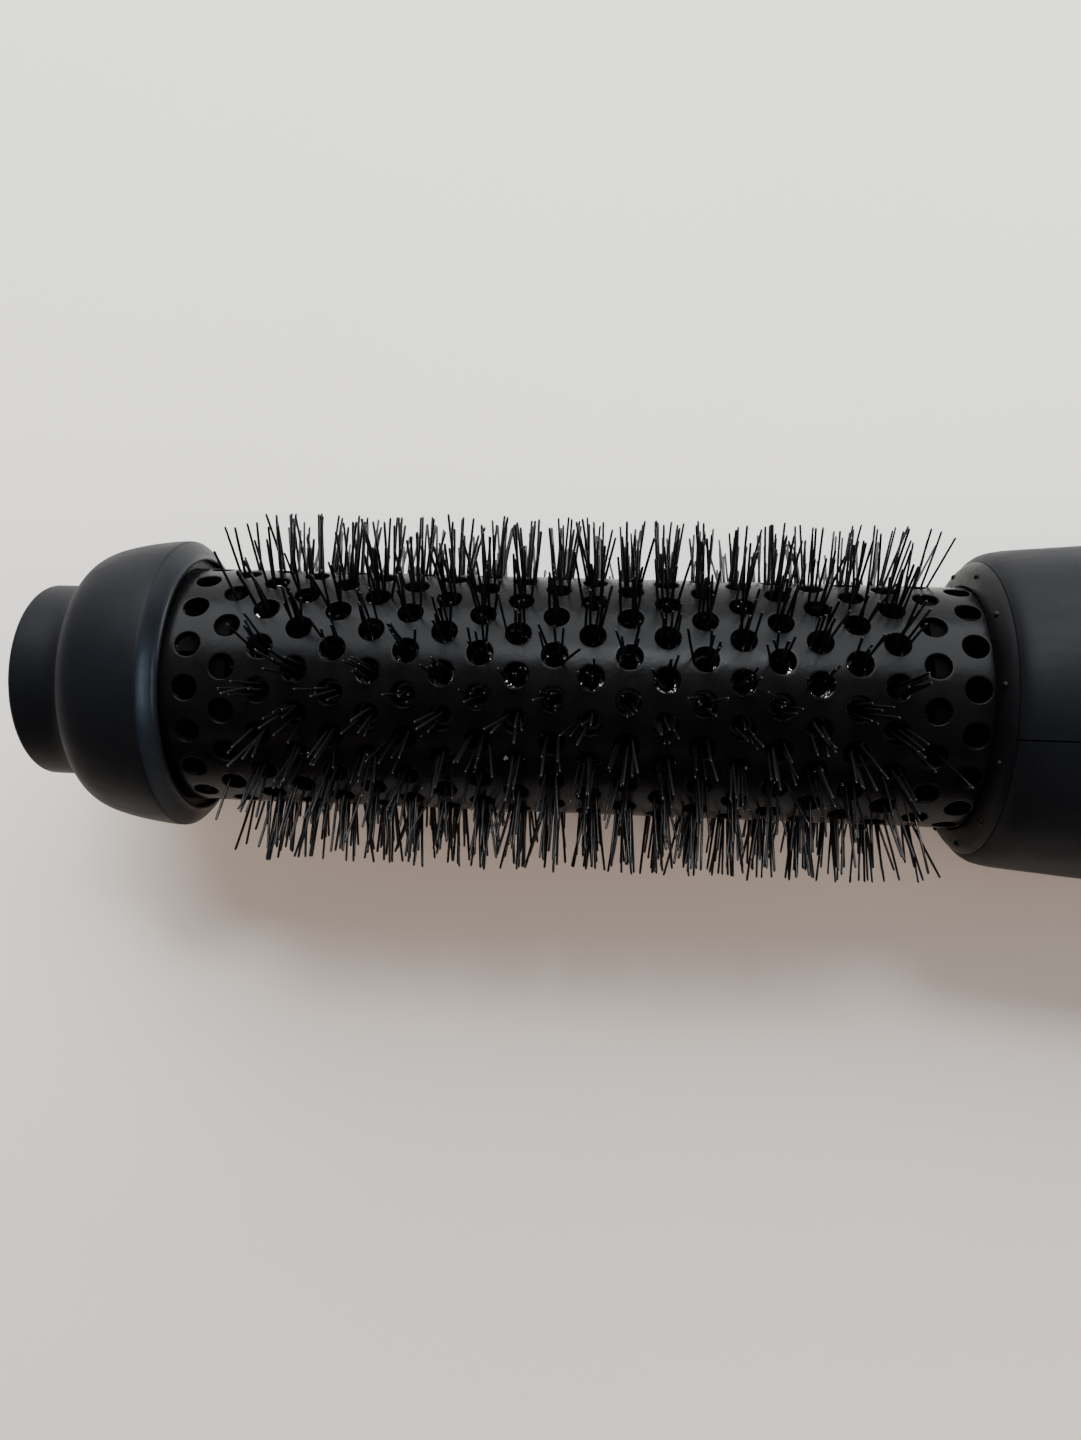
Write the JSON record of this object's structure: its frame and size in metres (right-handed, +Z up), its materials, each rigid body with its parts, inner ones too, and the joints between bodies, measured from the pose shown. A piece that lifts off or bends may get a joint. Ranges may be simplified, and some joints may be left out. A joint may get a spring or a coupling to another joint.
{
  "type": "hot-air styling brush",
  "caption": "Corded round hot-air styling brush: perforated barrel with bristle rows, cool tip, two-shell handle with fan, heater, slide switch and sprung cool-shot button.",
  "frame": {"origin": "under the middle of the whole brush, on the surface it lies on", "axes": "+X along the brush from the cool tip to the cord gland, +Z up, -Y the side with the controls"},
  "size_m": [0.3312, 0.0488, 0.0485],
  "materials": {
    "barrel": "semi-gloss black coating on the barrel, faint mottle",
    "soft_touch": "matte soft-touch charcoal",
    "black_plastic": "satin black",
    "gloss_ring": "glossy black",
    "inner_nylon": "heat-stable black nylon, dull",
    "bristle": "black nylon filament, glossy",
    "steel": "zinc plated",
    "mica": "pressed mica board",
    "heater_wire": "resistance wire",
    "motor_can": "plated can",
    "board": "green solder mask",
    "component": "moulded component bodies"
  },
  "bodies": {
    "brush": {"air_core": "inner_nylon", "barrel_tube": "barrel", "bristle_rows_1": "bristle", "bristle_rows_2": "bristle", "bristle_rows_3": "bristle", "bristle_rows_4": "bristle", "bristle_rows_5": "bristle", "bristle_rows_6": "bristle", "bristle_rows_7": "bristle", "bristle_rows_8": "bristle", "bristle_rows_9": "bristle", "bristle_strip_01": "inner_nylon", "bristle_strip_02": "inner_nylon", "bristle_strip_03": "inner_nylon", "bristle_strip_04": "inner_nylon", "bristle_strip_05": "inner_nylon", "bristle_strip_06": "inner_nylon", "bristle_strip_07": "inner_nylon", "bristle_strip_08": "inner_nylon", "bristle_strip_09": "inner_nylon", "bristle_strip_10": "inner_nylon", "bristle_strip_11": "inner_nylon", "bristle_strip_12": "inner_nylon", "bristle_strip_13": "inner_nylon", "bristle_strip_14": "inner_nylon", "bristle_strip_15": "inner_nylon", "bristle_strip_16": "inner_nylon", "bristle_strip_17": "inner_nylon", "bristle_strip_18": "inner_nylon", "capacitor": "component", "circuit_board": "board", "cool_button_spring": "steel", "cool_switch": "component", "heater_coil": "heater_wire", "left_shell": "soft_touch", "lint_filter": "inner_nylon", "mica_cross": "mica", "mica_sleeve": "mica", "motor": "motor_can", "motor_mount": "inner_nylon", "nose_ring": "gloss_ring", "rectifier_diodes": "component", "right_shell": "soft_touch", "shell_screws": "steel", "slide_switch": "component", "strip_ring_front": "inner_nylon", "strip_ring_rear": "inner_nylon", "thermal_fuse": "steel", "thermostat": "steel", "tip_cap": "soft_touch", "tip_collar": "black_plastic", "tip_screw": "steel"},
    "fan": {"impeller": "inner_nylon", "motor_shaft": "steel"},
    "slider": {"speed_slider": "black_plastic"},
    "cool_shot": {"cool_button": "black_plastic"},
    "gland": {"cord_gland": "black_plastic"}
  },
  "joints": [
    {"name": "fan_spin", "type": "hinge", "parent": "brush", "child": "fan", "pos_m": [0.0416, 0, 0.02406], "axis": [1, 0, 0], "continuous": true},
    {"name": "speed_slide", "type": "slide", "parent": "brush", "child": "slider", "axis": [-1, 0, 0], "range_m": [0, 0.01]},
    {"name": "cool_press", "type": "slide", "parent": "brush", "child": "cool_shot", "axis": [0, 1, 0], "range_m": [0, 0.0015], "stiffness_N_per_m": 300, "springref_m": -0.0008, "deforming": ["cool_button_spring"]},
    {"name": "gland_swivel", "type": "hinge", "parent": "brush", "child": "gland", "pos_m": [0.15685, 0, 0.02406], "axis": [1, 0, 0], "continuous": true}
  ]
}
